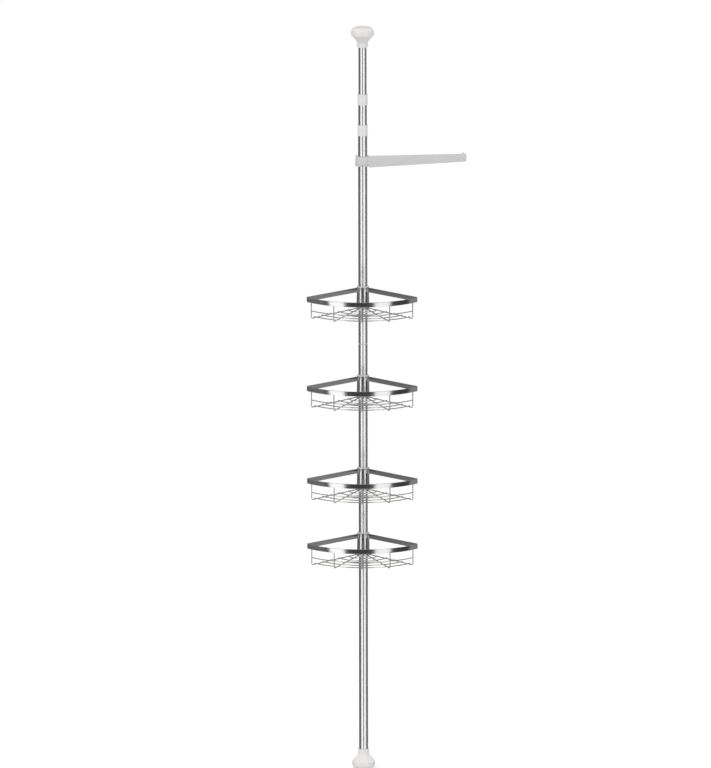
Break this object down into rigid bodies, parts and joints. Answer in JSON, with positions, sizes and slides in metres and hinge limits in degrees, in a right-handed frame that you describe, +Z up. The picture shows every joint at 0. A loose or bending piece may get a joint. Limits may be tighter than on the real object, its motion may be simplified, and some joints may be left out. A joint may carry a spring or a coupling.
{
  "type": "shower caddy",
  "caption": "Floor-to-ceiling tension pole with corner wire baskets on wedge clips and a swinging towel bar.",
  "frame": {"origin": "centre of the underside of the floor pad, on the pole's axis", "axes": "+Z up along the pole; the baskets open towards -Y; the towel bar points towards +X"},
  "size_m": [0.4367, 0.2678, 2.08],
  "materials": {
    "polished_steel": "polished stainless steel tube",
    "chromed_steel": "bright chromium plate",
    "white_plastic": "moulded white, satin gloss",
    "light_grey_plastic": "moulded light grey, satin",
    "natural_nylon": "natural nylon",
    "grey_rubber": "soft grip pad",
    "spring_wire": "bright drawn wire"
  },
  "bodies": {
    "mast": {"floor_pad": "grey_rubber", "floor_foot": "white_plastic", "mast_tube_1": "polished_steel", "mast_tube_2": "polished_steel", "mast_tube_3": "polished_steel", "tube_joint_1": "natural_nylon", "tube_joint_2": "natural_nylon", "end_ring": "white_plastic", "end_bush": "natural_nylon", "spring_seat": "natural_nylon", "tension_spring": "spring_wire"},
    "spring_tube": {"spring_tube": "polished_steel", "spring_tube_plug": "natural_nylon", "lock_collet": "natural_nylon"},
    "lock_ring": {"lock_ring": "white_plastic"},
    "upper_tube": {"upper_tube": "polished_steel", "upper_tube_plug": "natural_nylon", "ceiling_foot": "white_plastic", "ceiling_pad": "grey_rubber"},
    "towel_clip": {"towel_clip_left": "light_grey_plastic", "towel_clip_right": "light_grey_plastic"},
    "towel_bar": {"towel_bar": "light_grey_plastic"},
    "basket_1_clip": {"basket_1_clip_left": "white_plastic", "basket_1_clip_right": "white_plastic"},
    "basket_1": {"basket_1_sleeve": "chromed_steel", "basket_1_rim": "chromed_steel", "basket_1_wires": "chromed_steel"},
    "basket_2_clip": {"basket_2_clip_left": "white_plastic", "basket_2_clip_right": "white_plastic"},
    "basket_2": {"basket_2_sleeve": "chromed_steel", "basket_2_rim": "chromed_steel", "basket_2_wires": "chromed_steel"},
    "basket_3_clip": {"basket_3_clip_left": "white_plastic", "basket_3_clip_right": "white_plastic"},
    "basket_3": {"basket_3_sleeve": "chromed_steel", "basket_3_rim": "chromed_steel", "basket_3_wires": "chromed_steel"},
    "basket_4_clip": {"basket_4_clip_left": "white_plastic", "basket_4_clip_right": "white_plastic"},
    "basket_4": {"basket_4_sleeve": "chromed_steel", "basket_4_rim": "chromed_steel", "basket_4_wires": "chromed_steel"}
  },
  "joints": [
    {"name": "spring_travel", "type": "slide", "parent": "mast", "child": "spring_tube", "axis": [0, 0, 1], "range_m": [-0.054, 0], "stiffness_N_per_m": 2000, "springref_m": 0.01, "deforming": ["tension_spring"]},
    {"name": "telescope", "type": "slide", "parent": "spring_tube", "child": "upper_tube", "axis": [0, 0, 1], "range_m": [-0.128, 0.25]},
    {"name": "lock_twist", "type": "hinge", "parent": "spring_tube", "child": "lock_ring", "pos_m": [0, 0, 1.877], "axis": [0, 0, 1], "range_deg": [-120, 0]},
    {"name": "towel_bar_height", "type": "slide", "parent": "mast", "child": "towel_clip", "axis": [0, 0, 1], "range_m": [-0.165, 0.05]},
    {"name": "towel_bar_swivel", "type": "hinge", "parent": "towel_clip", "child": "towel_bar", "pos_m": [0, 0, 1.707], "axis": [0, 0, 1], "continuous": true},
    {"name": "basket_1_height", "type": "slide", "parent": "mast", "child": "basket_1_clip", "axis": [0, 0, 1], "range_m": [-0.09, 0.165]},
    {"name": "basket_1_swivel", "type": "hinge", "parent": "basket_1_clip", "child": "basket_1", "pos_m": [0, 0, 1.347], "axis": [0, 0, 1], "continuous": true},
    {"name": "basket_2_height", "type": "slide", "parent": "mast", "child": "basket_2_clip", "axis": [0, 0, 1], "range_m": [-0.094, 0.09]},
    {"name": "basket_2_swivel", "type": "hinge", "parent": "basket_2_clip", "child": "basket_2", "pos_m": [0, 0, 1.098], "axis": [0, 0, 1], "continuous": true},
    {"name": "basket_3_height", "type": "slide", "parent": "mast", "child": "basket_3_clip", "axis": [0, 0, 1], "range_m": [-0.055, 0.094]},
    {"name": "basket_3_swivel", "type": "hinge", "parent": "basket_3_clip", "child": "basket_3", "pos_m": [0, 0, 0.8395], "axis": [0, 0, 1], "continuous": true},
    {"name": "basket_4_height", "type": "slide", "parent": "mast", "child": "basket_4_clip", "axis": [0, 0, 1], "range_m": [-0.53, 0.055]},
    {"name": "basket_4_swivel", "type": "hinge", "parent": "basket_4_clip", "child": "basket_4", "pos_m": [0, 0, 0.657], "axis": [0, 0, 1], "continuous": true}
  ]
}
